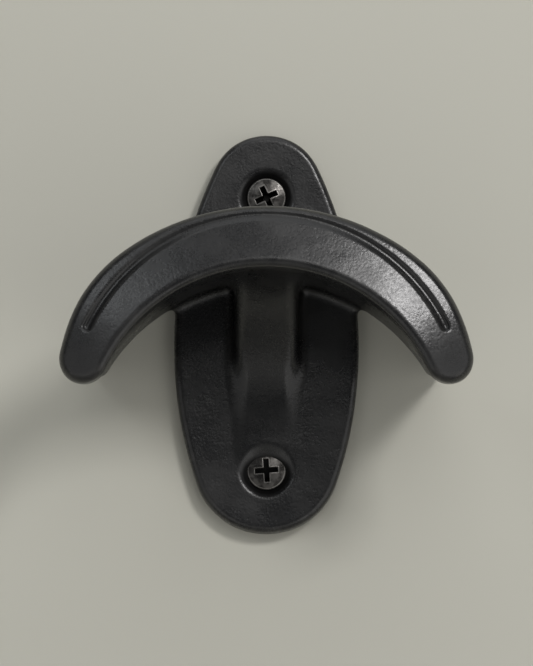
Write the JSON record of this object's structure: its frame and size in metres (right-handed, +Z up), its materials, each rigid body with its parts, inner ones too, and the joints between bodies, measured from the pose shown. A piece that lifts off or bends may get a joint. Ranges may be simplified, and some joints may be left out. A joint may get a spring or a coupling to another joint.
{
  "type": "bridle rack",
  "caption": "Wall bracket with an oval screw plate, a broad rib and an arched saddle with a leaning front lip, over which a bridle's headpiece hangs.",
  "frame": {"origin": "centre of the plate's back face, on the wall's surface", "axes": "+Z up, +X to the right seen from the front, the saddle reaches out from the wall along -Y and the screws go into the wall along +Y"},
  "size_m": [0.0878, 0.0816, 0.086],
  "materials": {
    "black_casting": "satin black powder coat with a fine cast grain",
    "dark_screw": "dark oxide, rubbed brighter on the head"
  },
  "bodies": {
    "root": {"bracket_casting": "black_casting", "upper_screw": "dark_screw", "lower_screw": "dark_screw"}
  },
  "joints": []
}
